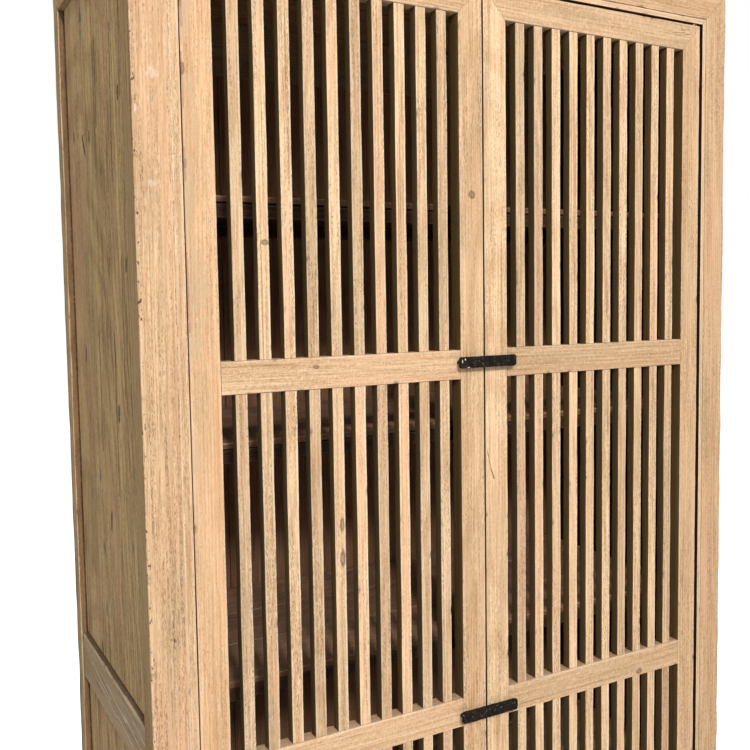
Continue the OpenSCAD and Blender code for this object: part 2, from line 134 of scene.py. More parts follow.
def make_floor(height, glow):
    """A pale floor that looks white but throws little light up at the cabinet."""
    bpy.ops.mesh.primitive_plane_add(size=120, location=(0, 0, height))
    floor = bpy.context.object
    floor.name = "floor"
    material = bpy.data.materials.new("pale_floor")
    material.use_nodes = True
    tree = material.node_tree
    shader = tree.nodes["Principled BSDF"]
    shader.inputs["Base Color"].default_value = (0.60, 0.60, 0.60, 1)
    shader.inputs["Roughness"].default_value = 0.8
    shader.inputs["Emission Color"].default_value = (1, 1, 1, 1)
    path = tree.nodes.new("ShaderNodeLightPath")
    strength = tree.nodes.new("ShaderNodeMath")
    strength.operation = "MULTIPLY"
    strength.inputs[1].default_value = glow
    tree.links.new(path.outputs["Is Camera Ray"], strength.inputs[0])
    tree.links.new(strength.outputs[0], shader.inputs["Emission Strength"])
    floor.data.materials.append(material)


def make_studio():
    make_camera()
    make_world(0.30, 1.0)
    doors, warm = (0, -0.4, 0), (1.0, 0.98, 0.95)
    area_light("key", (-1.9, -8.0, 4.7), doors, 1.0, 470, warm)
    area_light("soft_key", (-0.7, -3.6, 2.2), doors, 1.6, 42, warm)
    area_light("side_fill", (-3.6, -0.7, 1.0), (-0.5, -0.3, 0.2), 1.6, 27, warm)
    area_light("rim", (3.0, -2.6, 1.6), doors, 1.0, 8, warm)
    area_light("back_fill", (1.5, 3.5, 2.2), (0, -0.2, 0), 2.5, 45, (0.97, 0.98, 1.0))
    make_floor(cad_box[0][Z] - 0.5 * MM, 0.95)
    bpy.context.scene.view_settings.view_transform = "Standard"


# ---------- materials


class Nodes:
    """Short calls for building a material's node tree."""

    def __init__(self, name):
        self.material = bpy.data.materials.new(name)
        self.material.use_nodes = True
        self.tree = self.material.node_tree
        self.shader = self.tree.nodes["Principled BSDF"]

    def put(self, socket, value):
        if isinstance(value, bpy.types.NodeSocket):
            self.tree.links.new(value, socket)
        else:
            socket.default_value = value

    def add(self, kind, inputs=(), **settings):
        """A new node with these settings, and with values or links for its inputs by name or number."""
        node = self.tree.nodes.new("ShaderNode" + kind)
        for name, value in settings.items():
            setattr(node, name, value)
        for key, value in dict(inputs).items():
            self.put(node.inputs[key], value)
        return node

    def math(self, operation, a, b=0.0, clamp=False):
        return self.add("Math", {0: a, 1: b}, operation=operation, use_clamp=clamp).outputs[0]

    def times(self, a, b):
        return self.math("MULTIPLY", a, b)

    def blend(self, *terms, clamp=False):
        """The sum of (value, weight) terms, held between 0 and 1 if clamped."""
        total = 0.0
        for value, weight in terms:
            total = self.math("ADD", total, self.times(value, weight))
        total.node.use_clamp = clamp
        return total

    def vector(self, operation, a, b=(0, 0, 0)):
        node = self.add("VectorMath", {0: a, 1: b}, operation=operation)
        return node.outputs["Value" if operation in ("LENGTH", "DOT_PRODUCT") else "Vector"]

    def attribute(self, name):
        return self.add("Attribute", attribute_name=name)

    def parts(self, vector):
        return self.add("SeparateXYZ", {0: vector}).outputs

    def place(self):
        return self.add("TexCoord").outputs["Object"]

    def noise(self, vector, across, along, detail=3.0, roughness=0.55):
        """Noise whose pattern repeats about so many times a metre across the grain and along it."""
        place = self.vector("MULTIPLY", vector, (across, across, along))
        inputs = {"Vector": place, "Scale": 1.0, "Detail": detail, "Roughness": roughness}
        return self.add("TexNoise", inputs).outputs["Fac"]

    def uneven(self, *pattern):
        """Noise centred on 0."""
        return self.math("SUBTRACT", self.noise(*pattern), 0.5)

    def wave(self, value, rate):
        return self.math("SINE", self.times(value, rate))

    def band(self, value, low, high, to_low=0.0, to_high=1.0):
        """A smooth step from to_low at low to to_high at high."""
        inputs = {"Value": value, "From Min": low, "From Max": high, "To Min": to_low, "To Max": to_high}
        return self.add("MapRange", inputs, interpolation_type="SMOOTHSTEP").outputs["Result"]

    def mix(self, factor, *colours):
        """From the first colour to the second, each a socket or three screen levels."""
        node = self.add("Mix", data_type="RGBA")
        self.put(node.inputs["Factor"], factor)
        for number, colour in zip(MIX_COLOURS, colours):
            is_socket = isinstance(colour, bpy.types.NodeSocket)
            self.put(node.inputs[number], colour if is_socket else (*srgb(*colour), 1))
        return node.outputs[MIX_RESULT]

    def tint(self, mask, strength, colour, paint):
        """The colour with paint laid over it where the mask is."""
        return self.mix(self.times(mask, strength), colour, paint)

    def blob(self, place, centre, size, ragged):
        """How far a point is from a centre, where 1 is the uneven edge of a spot of this size."""
        offset = self.vector("MULTIPLY", self.vector("SUBTRACT", place, centre), [1 / s for s in size])
        return self.math("ADD", self.vector("LENGTH", offset), ragged)

    def stroke(self, place, start, end, width, ragged):
        """1 along an uneven line between two points, 0 at about width from it."""
        run = end - start
        offset = self.vector("SUBTRACT", place, start)
        share = self.math("DIVIDE", self.vector("DOT_PRODUCT", offset, run), run.length_squared, clamp=True)
        near = self.vector("SUBTRACT", offset, self.vector("MULTIPLY", run, share))
        away = self.blend((self.vector("LENGTH", near), 1), (ragged, 2 * width))
        return self.band(away, 0.4 * width, 1.3 * width, 1.0, 0.0)

    def bump(self, height, strength, distance):
        node = self.add("Bump", {"Height": height, "Strength": strength, "Distance": distance})
        self.put(self.shader.inputs["Normal"], node.outputs[0])

    def surface(self, **values):
        """Fills the shader's own inputs, whose names are spelled here with _ for a space."""
        for name, value in values.items():
            self.put(self.shader.inputs[name.replace("_", " ")], value)


def srgb(*levels):
    """A screen colour from 0 to 255 as the linear colour that a shader takes."""
    return tuple((v / 255 / 12.92) if v <= 10 else ((v / 255 + 0.055) / 1.055) ** 2.4 for v in levels)


def wood(name, pale, deep, old, old_deep, blush, grey, pores=0.6, edge_pale=0.5, hatch=0.0, holes=0.0,
         fine=1.0, patchy=0.5, chalky=0.3, line_amount=0.2, old_tint=None, knots=(), strokes=(), patches=()):
    """Sanded softwood: rings, streaks, dark pores, stains, worn edges that on some pieces are also a painted
    highlight, and an old finish on hidden faces that some palettes darken into painted shade.

    pale and deep are the light and dark wood of the sanded faces, old and old_deep those of the unsanded
    ones, which on side faces, undersides and in gaps are partly painted shade; blush and grey the two stain
    colours. hatch is for saw marks across the grain, and holes for worm holes along the edges. knots,
    strokes and patches are lists that marks() makes.
    """
    n = Nodes(name)
    grain = n.vector("MULTIPLY", n.attribute("grain").outputs["Vector"], (fine, fine, 1))
    edge, stain, nick = n.parts(n.attribute("wear_and_light").outputs["Vector"])
    tone = n.attribute("tone").outputs["Fac"]
    place = n.place()
    rough = n.uneven(place, 240, 240, 2.0)

    def moved(*offset):
        return n.vector("ADD", grain, offset)

    off_heart = n.vector("LENGTH", n.vector("MULTIPLY", grain, (1, 1, 0.035)))
    radius = n.blend((off_heart, 1), (n.noise(grain, 7, 1.6, 2.0), 22 * MM))
    knot_shade = None
    for centre, size in knots:
        away = n.blob(place, centre, size, n.times(rough, 0.9))
        radius = n.math("ADD", radius, n.band(away, 0.2, 4.0, 10 * MM, 0.0))
        rim = n.times(n.band(away, 0.45, 0.85), n.band(away, 0.95, 1.35, 1.0, 0.0))
        shade = n.blend((n.band(away, 0.5, 1.1, 1.0, 0.0), 0.5), (rim, 0.5), clamp=True)
        knot_shade = shade if knot_shade is None else n.math("MAXIMUM", knot_shade, shade)

    rings = n.band(n.wave(radius, 2 * math.pi / RING_GAP), -0.3, 1.0)
    streaks = n.noise(grain, 380, 8, 3.0, 0.65)
    fibres = n.uneven(grain, 600, 16, 2.0, 0.7)
    specks = n.uneven(grain, 850, 170, 1.0)
    pore_zone = n.band(n.noise(grain, 26, 5, 2.0), 0.34, 0.60, 0.4, 1.0)
    rows = n.band(n.noise(grain, 430, 5, 2.0), 0.42, 0.58, 0.15, 1.0)
    dashes = n.band(n.noise(grain, 980, 105, 1.0), 0.53, 0.64)
    ticks = n.band(n.noise(moved(7.1, 2.3, 9.7), 1000, 260, 1.0), 0.53, 0.64)
    lines = n.band(n.noise(grain, 400, 2.5, 2.0), 0.54, 0.64)
    pore_marks = n.times(n.times(n.math("MAXIMUM", n.times(dashes, 0.8), ticks), rows), pore_zone)
    chalk = n.band(n.noise(grain, 560, 50, 2.0), 0.58, 0.72)

    shade = n.blend((rings, 0.20), (n.band(streaks, 0.36, 0.66), 0.40),
                    (n.band(n.noise(grain, 36, 2.4), 0.34, 0.68), 0.30), (lines, line_amount),
                    (specks, 0.75), (fibres, 0.9), clamp=True)
    warm = n.blend((n.noise(grain, 16, 1.5, 2.0), 1), (n.wave(tone, 40), 0.06))
    dull = n.blend((n.noise(moved(3.7, 1.3, 5.1), 24, 3.6), 1), (n.wave(tone, 61), -0.05))
    sanded = n.mix(n.band(warm, 0.50, 0.66, 0.0, patchy), n.mix(shade, pale, deep), blush)
    sanded = n.mix(n.band(dull, 0.54, 0.70, 0.0, patchy), sanded, grey)
    sanded = n.tint(chalk, chalky, sanded, (250, 226, 194))
    # The old colours go on faces turned away from pale, where stain is 1: on the sides of slats and stiles
    # they are partly painted shade, on bead sides, panel tongues and shelf undersides painted shade.
    old_and_shaded = n.mix(shade, old, old_deep)
    if old_tint:
        old_and_shaded = n.mix(n.band(n.wave(tone, 90), -0.4, 0.9, 0.0, 0.6), old_and_shaded, old_tint)
    colour = n.mix(stain, sanded, old_and_shaded)

    # Pale corners: real wear, and on the slats' right front corners a painted highlight.
    worn_and_highlit_edge = n.times(edge, n.band(n.noise(grain, 60, 22), 0.34, 0.60, 0.4, 1.0))
    worn_and_highlit_edge = n.times(worn_and_highlit_edge, n.math("SUBTRACT", 1.0, stain))
    colour = n.tint(worn_and_highlit_edge, edge_pale, colour, (252, 234, 208))
    if hatch:
        saw = n.noise(grain, 150, 520, 2.0)
        colour = n.tint(n.band(saw, 0.54, 0.68), hatch, colour, (248, 222, 186))
        colour = n.tint(n.band(saw, 0.46, 0.32), hatch * 0.6, colour, (180, 138, 96))
    graded = n.add("HueSaturation", {"Value": n.band(tone, 0.0, 1.0, 0.88, 1.09), "Color": colour})
    colour = n.tint(pore_marks, pores, graded.outputs[0], (104, 70, 42))
    if holes:
        dots = n.band(n.noise(moved(1.9, 8.3, 4.1), 300, 170, 1.0), 0.64, 0.70)
        colour = n.tint(n.times(dots, n.band(edge, 0.4, 0.7)), holes, colour, (70, 46, 28))
    if knot_shade is not None:
        colour = n.mix(knot_shade, colour, (96, 64, 46))
    drift = n.times(n.uneven(place, 110, 60, 5.0, 0.75), 3.0)
    for centre, size, paint, strength in patches:
        spread = n.blob(place, centre, size, drift)
        colour = n.tint(n.band(spread, 0.3, 1.1, 1.0, 0.0), strength, colour, paint)
    for start, end, width, paint, strength in strokes:
        colour = n.tint(n.stroke(place, start, end, width, rough), strength, colour, paint)
    colour = n.tint(nick, 0.85, colour, (84, 60, 40))

    n.surface(Base_Color=colour, Roughness=n.band(shade, 0.0, 1.0, 0.64, 0.80), Specular_IOR_Level=0.25)
    n.bump(n.blend((fibres, 0.6), (pore_marks, -1), (streaks, 0.7), (rings, -0.2)), 0.5, 0.35 * MM)
    return n.material


def metal(name, base, dull, roughness, metallic, dent_size, dent_depth, speck, gloss=0.5, glints=()):
    """Metal, hammered or brushed, with dull patches and small rubbed specks; glints lists spots painted
    bright as highlights.
    """
    n = Nodes(name)
    place = n.place()
    patches = n.noise(place, 180, 180)
    cells = n.add("TexVoronoi", {"Vector": place, "Scale": 1 / dent_size})
    dents = n.band(cells.outputs["Distance"], 0.0, 0.7)
    rubbed = n.times(n.band(n.noise(place, 380, 460, 2.0), 0.60, 0.68), n.band(patches, 0.42, 0.58))
    colour = n.tint(rubbed, speck, n.mix(n.band(patches, 0.35, 0.65), base, dull), (128, 122, 112))
    rough = n.times(n.uneven(place, 420, 420, 2.0), 1.5)
    # Painted highlights: each glint spot is painted a bright colour.
    for centre, size in glints:
        spot = n.band(n.blob(place, centre, size, rough), 0.5, 1.0, 1.0, 0.0)
        colour = n.mix(spot, colour, (226, 222, 214))
    uneven_shine = n.band(patches, 0.3, 0.7, roughness - 0.1, roughness + 0.14)
    n.surface(Base_Color=colour, Roughness=uneven_shine, Metallic=metallic, Specular_IOR_Level=gloss)
    n.bump(n.blend((dents, dent_depth), (n.noise(place, 900, 900, 2.0), 0.15)), 0.6, 0.5 * MM)
    return n.material


def on_front(node, across, up):
    """A point on a node's front face, by its shares of the width and the height."""
    low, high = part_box(node)
    return Vector((low.x + (high.x - low.x) * across, low.y, low.z + (high.z - low.z) * up))


def on_side(node, back, up):
    """A point on a node's left face, by its shares of the depth and the height."""
    low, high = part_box(node)
    return Vector((low.x, low.y + (high.y - low.y) * back, low.z + (high.z - low.z) * up))


def marks(face, node, knots=(), strokes=(), patches=(), paint=(74, 52, 36), reach=8):
    """Marks on a face of a node, with places as shares of the face and sizes in millimetres.

    knots lists (across, up, width, height), strokes (across, up, to across, to up, width, strength) in one
    paint, and patches (across, up, width, height, paint, strength).
    """
    return dict(
        knots=[(face(node, a, b), mm(w, reach, h)) for a, b, w, h in knots],
        strokes=[(face(node, a, b), face(node, c, d), w * MM, paint, strength)
                 for a, b, c, d, w, strength in strokes],
        patches=[(face(node, a, b), mm(w, reach, h) if face is on_front else mm(reach, w, h), colour, share)
                 for a, b, w, h, colour, share in patches])


def post_marks():
    """Chalky rubs and worm holes on the left front post."""
    chalk, hole = (255, 240, 218), (92, 58, 34)
    return marks(on_front, "front_post_left", reach=5, patches=(
        (0.55, 0.866, 10, 8, chalk, 0.35), (0.10, 0.841, 1.6, 8, chalk, 0.5),
        (0.45, 0.790, 9, 5, chalk, 0.25), (0.67, 0.463, 2.6, 3.4, hole, 0.8),
        (0.06, 0.446, 1.6, 2.2, hole, 0.9), (0.58, 0.464, 1.6, 1.6, hole, 0.5)))


def panel_marks():
    """Cracks, dark dashes and blue-grey stains on the left side panel."""
    stain, panel = (76, 80, 78), "side_upper_panel_left"
    cracks = ((0.49, 0.905, 0.488, 0.86, 2.4), (0.488, 0.86, 0.495, 0.785, 3.6),
              (0.262, 0.90, 0.275, 0.82, 2.6), (0.275, 0.82, 0.285, 0.70, 2.4),
              (0.137, 0.93, 0.147, 0.80, 2.4), (0.20, 0.60, 0.21, 0.42, 2.2),
              (0.56, 0.50, 0.565, 0.33, 2.4), (0.33, 0.50, 0.34, 0.28, 2.2))
    dashes = ((0.176, 0.811, 0.179, 0.799, 4.5), (0.878, 0.799, 0.876, 0.788, 4),
              (0.612, 0.783, 0.612, 0.772, 4), (0.728, 0.784, 0.690, 0.758, 4.5),
              (0.143, 0.594, 0.144, 0.584, 4), (0.799, 0.471, 0.806, 0.456, 4),
              (0.301, 0.401, 0.307, 0.385, 5), (0.468, 0.246, 0.476, 0.223, 4),
              (0.704, 0.026, 0.696, 0.012, 5))
    spots = ((0.692, 0.955, 10, 18, 0.9), (0.70, 0.93, 8, 12, 0.6), (0.434, 0.505, 9, 24, 0.55),
             (0.327, 0.470, 5, 20, 0.5), (0.628, 0.289, 8, 13, 0.75), (0.788, 0.250, 9, 11, 0.5),
             (0.604, 0.183, 9, 11, 0.7), (0.180, 0.222, 8, 11, 0.65), (0.603, 0.093, 8, 14, 0.6))
    found = marks(on_side, panel, strokes=[(*crack, 0.7) for crack in cracks], paint=(70, 48, 30),
                  patches=[(a, b, w, h, stain, strength) for a, b, w, h, strength in spots])
    dark = marks(on_side, panel, strokes=[(*dash, 0.9) for dash in dashes], paint=(56, 52, 40))
    found["strokes"] += dark["strokes"]
    return found


def corner_shadow_line():
    """A painted shadow line in the corner where the left back post meets the side panels."""
    panel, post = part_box("side_upper_panel_left"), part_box("back_post_left")
    ends = (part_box("side_lower_panel_left")[0].z, panel[1].z)
    foot, head = (Vector((panel[0].x, post[0].y, z)) for z in ends)
    return [(foot, head, 1.7 * MM, (62, 42, 28), 0.85)]


def mid_rail_marks():
    """Pale scratches on the left side's middle rail."""
    scratches = ((0.82, 0.62, 0.52, 0.46), (0.70, 0.44, 0.44, 0.30), (0.58, 0.66, 0.30, 0.52),
                 (0.42, 0.36, 0.16, 0.22), (0.34, 0.60, 0.12, 0.44), (0.22, 0.74, 0.08, 0.66))
    return marks(on_side, "side_mid_rail_left", paint=(226, 214, 190),
                 strokes=[(*scratch, 1.1, 0.6) for scratch in scratches])


def hinge_marks():
    """A grey film down the hinge edge of the left door, purple-brown strokes of painted shade beside the gap,
    and two small knots.
    """
    blotches = ((0.15, 0.945, 9, 62), (0.30, 0.885, 9, 32), (0.38, 0.855, 8, 20), (0.12, 0.80, 9, 78),
                (0.35, 0.735, 17, 62), (0.22, 0.69, 12, 36), (0.10, 0.60, 6, 26))
    gap_shade_strokes = ((0.99, 0.93), (0.91, 0.87), (0.84, 0.815), (0.76, 0.70))
    return marks(on_front, "left_hinge_stile", paint=(150, 108, 96),
                 knots=((0.03, 0.8986, 3.5, 7), (0.03, 0.828, 3, 5)),
                 strokes=[(0.02, top, 0.05, foot, 1.6, 0.45) for top, foot in gap_shade_strokes],
                 patches=[(*blotch, (204, 176, 142), 0.6) for blotch in blotches])


def iron_glints():
    """Painted highlights on the upper pull: two glints at its left end and a thin one along its lower edge.
    """
    low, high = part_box("left_pulls")
    return [(Vector((low.x + x * MM, low.y, high.z - z * MM)), mm(w, 4, h))
            for x, z, w, h in ((3.6, 6, 1.0, 3.0), (8.2, 4, 1.1, 1.7), (14, 15.5, 3.5, 0.7))]


# ---------- wood pieces


def finish_piece(node, mesh, material, body, even=True):
    """Puts a mesh in the scene under its own name, riding on a body and standing for this CAD node."""
    mesh.materials.append(material)
    mesh.shade_smooth()
    mesh.update()
    piece = bpy.data.objects.new(mesh.name, mesh)
    bpy.context.scene.collection.objects.link(piece)
    if even:
        piece.modifiers.new("even_shading", "WEIGHTED_NORMAL").keep_sharp = True
    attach(piece, body)
    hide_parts(node)


def skin(faces, start, ring_count, size):
    """Adds the faces that join rings of points in turn, and caps both ends."""
    for a in range(start, start + (ring_count - 1) * size, size):
        for i in range(size):
            j = (i + 1) % size
            faces.append((a + i, a + j, a + size + j, a + size + i))
    faces.append(tuple(start + i for i in reversed(range(size))))
    faces.append(tuple(start + (ring_count - 1) * size + i for i in range(size)))


class Piece:
    """The vertices, faces and surface values of the wood that stands for one CAD node, board by board."""

    def __init__(self, node, body, slot, material, seed):
        self.node = node
        self.body = body
        self.slot = slot
        self.material = material
        self.random = random.Random(seed)
        self.verts = []
        self.faces = []
        self.grain = []
        self.wear_and_light = []
        self.tone = []

    def make(self):
        mesh = bpy.data.meshes.new(self.node + "_wood")
        mesh.from_pydata(self.verts, [], self.faces)
        for name, kind, values in (
            ("grain", "FLOAT_VECTOR", self.grain),
            ("wear_and_light", "FLOAT_VECTOR", self.wear_and_light),
            ("tone", "FLOAT", self.tone),
        ):
            layer = mesh.attributes.new(name, kind, "POINT")
            flat = values if kind == "FLOAT" else [number for value in values for number in value]
            layer.data.foreach_set("value" if kind == "FLOAT" else "vector", flat)
        finish_piece(self.node, mesh, self.material, self.body)


def smooth(value, low, high):
    share = min(1.0, max(0.0, (value - low) / (high - low)))
    return share * share * (3 - 2 * share)


def section(u0, u1, v0, v1, radii):
    """Points round a rectangle with its four corners rounded: (u, v, outward u, outward v, edge value)."""
    corners = ((u1, v1, 1, 1), (u0, v1, -1, 1), (u0, v0, -1, -1), (u1, v0, 1, -1))
    arcs = []
    for i, (u, v, su, sv) in enumerate(corners):
        arc = []
        for k in range(CORNER_STEPS + 1):
            angle = math.pi / 2 * (i + k / CORNER_STEPS)
            nu, nv = math.cos(angle), math.sin(angle)
            worn = 0.8 + 0.2 * math.sin(math.pi * k / CORNER_STEPS)
            arc.append((u + (nu - su) * radii[i], v + (nv - sv) * radii[i], nu, nv, worn))
        arcs.append(arc)
    points = []
    for i, arc in enumerate(arcs):
        points += arc
        a, b = arc[-1], arcs[(i + 1) % 4][0]
        length = math.hypot(b[0] - a[0], b[1] - a[1])
        share = min(0.35, EDGE_BAND / max(length, EDGE_BAND))
        for t in (share, 1 - share):
            points.append((a[0] + (b[0] - a[0]) * t, a[1] + (b[1] - a[1]) * t, a[2], a[3], 0.0))
    return points


def corner_of(along, signs):
    """The number of a board's corner, in section's order, from the signs of the directions that it faces."""
    return {(1, 1): 0, (-1, 1): 1, (-1, -1): 2, (1, -1): 3}[signs[(along + 1) % 3], signs[(along + 2) % 3]]


def nick_list(rng, length, per_metre, depth):
    """Random small dents along one corner: (place, depth, half length)."""
    count = round(length * per_metre)
    return [(rng.uniform(0, length), rng.uniform(0.2, 1) ** 2 * depth, rng.uniform(0.8, 4.5) * MM)
            for _ in range(count)]


def ring_places(length, step, joint):
    """Each ring along a board: (share of the length, bevel's direction, inset)."""
    count = max(2, round(length / step))
    middle = [(k / count, 0, 0.0) for k in range(1, count)]
    return [(0.0, 0, joint), (0.0, 1, 0.0), *middle, (1.0, -1, 0.0), (1.0, 0, joint)]


def worn_corners(s, seed, edges, dents):
    """The four corners' radii at a place along a board, and how much dirt their dents hold."""
    radii, dirt = [], []
    for i, edge in enumerate(edges):
        worn = edge * (0.85 + 0.6 * noise.noise((seed, 50 + 31 * i, s * 24)))
        dent = max((d * math.exp(-((s - at) / half) ** 2) for at, d, half in dents[i]), default=0.0)
        radii.append(max(0.3 * edge, worn) + dent)
        dirt.append(min(1.0, dent / (0.8 * MM)))
    return radii, dirt


def board(piece, low, high, along, edge=1.2, joint=0.5, wobble=0.3, step=10,
          ends=(None, None), pale=None, nicks=0, nick_depth=1.5, nick_at=None, tone=None,
          soft=(), rubbed=None, heart=None):
    """A board with rounded, worn edges between two corners, its grain running along one axis.

    ends gives the two end faces as functions of a point, for mitres. Faces turned to pale are sanded; the
    others take the old colours, which in some palettes are painted shade. Dirt gathers in the joints at both
    ends. soft lists corners with another radius, and nick_at and rubbed list the corners that are nicked and
    rubbed pale, which is wear and on the slats also a painted highlight, each by the signs of its directions.
    heart puts the rings' middle that far off the board's. All these sizes are in millimetres.
    """
    edge, joint, wobble, step, nick_depth = mm(edge, joint, wobble, step, nick_depth)
    rng = piece.random
    ua, va = (along + 1) % 3, (along + 2) % 3
    flats = (low[along], high[along])
    low_end, high_end = (f or (lambda point, flat=flat: flat) for f, flat in zip(ends, flats))
    length = high[along] - low[along]
    seed = rng.uniform(0, 500)
    offset = Vector((rng.uniform(-0.12, 0.12), rng.uniform(0.03, 0.12), rng.uniform(0, 40)))
    if heart is not None:
        offset.x, offset.y = -(low[ua] + high[ua]) / 2, heart * MM - (low[va] + high[va]) / 2
    tone = rng.uniform(0, 1) if tone is None else tone
    nicked = range(4) if nick_at is None else [corner_of(along, signs) for signs in nick_at]
    dents = [nick_list(rng, length, nicks if i in nicked else 0, nick_depth) for i in range(4)]
    edges, rub = [edge] * 4, [1.0 if rubbed is None else 0.35] * 4
    for signs, radius in soft:
        edges[corner_of(along, signs)] = radius * MM
    for signs in rubbed or ():
        rub[corner_of(along, signs)] = 1.0
    rings = ring_places(length, step, joint)
    start = len(piece.verts)
    for share, bevel, inset in rings:
        s = length * share
        shift = [wobble * (0.5 + 0.5 * noise.noise((seed, s * 9 + 31 * k, 0))) + inset for k in range(4)]
        radii, dirt = worn_corners(s, seed, edges, dents)
        sides = (low[ua] + shift[0], high[ua] - shift[1], low[va] + shift[2], high[va] - shift[3])
        for index, (u, v, nu, nv, worn) in enumerate(section(*sides, radii)):
            point = Vector()
            point[ua], point[va] = u, v
            first, last = low_end(point), high_end(point)
            point[along] = first + (last - first) * share + bevel * joint
            outward = AXES[ua] * nu + AXES[va] * nv
            sanded = 1.0 if pale is None else smooth(outward.dot(pale), 0.25, 0.8)
            corner, place = divmod(index, CORNER_POINTS)
            nick = dirt[corner] * worn if place <= CORNER_STEPS else 0.0
            if inset:
                nick = max(nick, 0.8)
            piece.verts.append(point)
            piece.grain.append((u + offset.x, v + offset.y, point[along] + offset.z))
            # Three values for each point: pale corners, which are wear and on the slats also a painted
            # highlight; faces that take the old colours, partly painted shade; and dirt in dents and joints.
            piece.wear_and_light.append((worn * rub[corner], 1 - sanded, nick * 0.8))
            piece.tone.append(tone)
    skin(piece.faces, start, len(rings), 4 * CORNER_POINTS)


def span(xs, ys, zs):
    """The low and high corners of a box, from its reach on each axis."""
    return tuple(Vector(corner) for corner in zip(xs, ys, zs))


def solids(node):
    """The boxes of a CAD node's separate solids, from left to right, front to back and bottom to top."""
    bm = bmesh.new()
    bm.from_mesh(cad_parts[node].data)
    bmesh.ops.remove_doubles(bm, verts=bm.verts, dist=0.01 * MM)
    left, boxes = set(bm.verts), []
    while left:
        reached, todo = set(), [left.pop()]
        while todo:
            vert = todo.pop()
            reached.add(vert)
            near = {e.other_vert(vert) for e in vert.link_edges} & left
            left -= near
            todo += near
        points = [v.co for v in reached]
        boxes.append((Vector([min(p[a] for p in points) for a in range(3)]),
                      Vector([max(p[a] for p in points) for a in range(3)])))
    bm.free()
    return sorted(boxes, key=lambda b: [round(c, 4) for c in b[0]])


def mitred(box, along, turns):
    """End faces that lean back away from each outer edge: turns lists (axis, outer edge, slope)."""
    low, high = box[0][along], box[1][along]

    def lean(point):
        return max(abs(point[axis] - outer) * slope for axis, outer, slope in turns)

    return (lambda point: low + lean(point)), (lambda point: high - lean(point))


# ---------- case


def case_piece(node, slot, material, seed):
    return Piece(node, "case", slot, material, seed)


def post_blocks(piece, side, inner, ys, rail_h, **options):
    """Fills a post's part behind the rails, at its head and at its foot."""
    low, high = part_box(piece.node)
    rail_in = min((edge.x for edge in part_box("side_top_rail_" + side)), key=abs)
    xs = sorted((rail_in, inner))
    for zs in ((high.z - rail_h, high.z - MM), (low.z + MM, low.z + rail_h)):
        board(piece, *span(xs, ys, zs), Z, **options)


def make_front_posts(looks):
    for i, side in enumerate(OUTWARD):
        node = "front_post_" + side
        low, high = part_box(node)
        rail_h = high.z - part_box("front_top_rail")[0].z
        outer, inner = sorted((low.x, high.x), key=abs, reverse=True)
        out = OUTWARD[side]
        piece = case_piece(node, "front_wood", looks["post_" + side], 11 + i)
        board(piece, low, high, Z, edge=1.2, wobble=0.5, step=3, pale=FRONT,
              ends=mitred((low, high), Z, ((X, outer, 1), (Y, low.y, 1))),
              soft=(((out, -1, 0), 4), ((-out, -1, 0), 0.6)), rubbed=((out, -1, 0),),
              nicks=16, nick_depth=0.8, nick_at=((out, -1, 0),),
              tone=0.5 if side == "left" else 0.32)
        back_of_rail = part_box("front_top_rail")[1].y
        post_blocks(piece, side, inner + out * 0.3 * MM, (back_of_rail, high.y - 0.3 * MM), rail_h,
                    pale=FRONT, tone=0.5)
        piece.make()


def make_back_posts(looks):
    for i, side in enumerate(OUTWARD):
        node = "back_post_" + side
        low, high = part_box(node)
        out = OUTWARD[side]
        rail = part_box("side_top_rail_" + side)
        rail_h = rail[1].z - rail[0].z
        piece = case_piece(node, "side_wood", looks["back_post"], 21 + i)
        board(piece, low, high, Z, edge=1.6, wobble=0.9, step=5,
              pale=Vector((out, -0.35, 0)).normalized(), soft=(((out, 1, 0), 7),),
              ends=mitred((low, high), Z, ((Y, high.y, 1),)), nicks=14)
        inner = min(low.x, high.x, key=abs) - out * 0.3 * MM
        post_blocks(piece, side, inner, (low.y + 0.3 * MM, high.y - 0.3 * MM), rail_h)
        piece.make()


def make_front_rails(looks):
    for i, (node, outer) in enumerate((("front_top_rail", 1), ("front_bottom_rail", 0))):
        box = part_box(node)
        piece = case_piece(node, "front_wood", looks["case_rail"], 31 + i)
        board(piece, *box, X, edge=1.6, wobble=0.4, step=8, pale=FRONT,
              ends=mitred(box, X, ((Z, box[outer].z, 1), (Y, box[0].y, 1))), nicks=6, tone=0.35)
        piece.make()


def make_beads(looks):
    """Narrow strips between the door gap and the posts, with a fine quirk along their outer edge; their faces
    turned away from the front are coloured dark as painted shade in the gap.
    """
    runs = (("left", Z, X), ("right", Z, X), ("top", X, Z), ("bottom", X, Z))
    for i, (name, along, across) in enumerate(runs):
        node = "bead_" + name
        low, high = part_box(node)
        outer_low = name in ("left", "bottom")
        outer = (low if outer_low else high)[across]
        piece = case_piece(node, "bead_wood", looks["bead_left" if name == "left" else "bead"], 41 + i)
        quirk, to_door = Vector(), [0, -1, 0]
        quirk[across] = -0.8 * MM if name == "left" else 0.5 * MM
        to_door[across] = 1 if outer_low else -1
        closer = {"left": 0.7 * MM, "right": -1.2 * MM}.get(name, -0.4 * MM) * Vector(AXES[across])
        low, high = (low + quirk, high + closer) if outer_low else (low - closer, high - quirk)
        ends = mitred(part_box(node), along, ((across, outer, 1),))
        board(piece, low, high, along, edge=0.9, wobble=0.2, step=6, pale=FRONT,
              soft=((tuple(to_door), 0.7),), ends=ends, nicks=5, nick_depth=1)
        if name == "left":
            lip = span((high.x - 1.5 * MM, high.x + 1.6 * MM), (low.y, low.y + 1.4 * MM), (low.z, high.z))
            board(piece, *lip, Z, edge=0.5, wobble=0.2, step=6, pale=FRONT, ends=ends)
        piece.make()


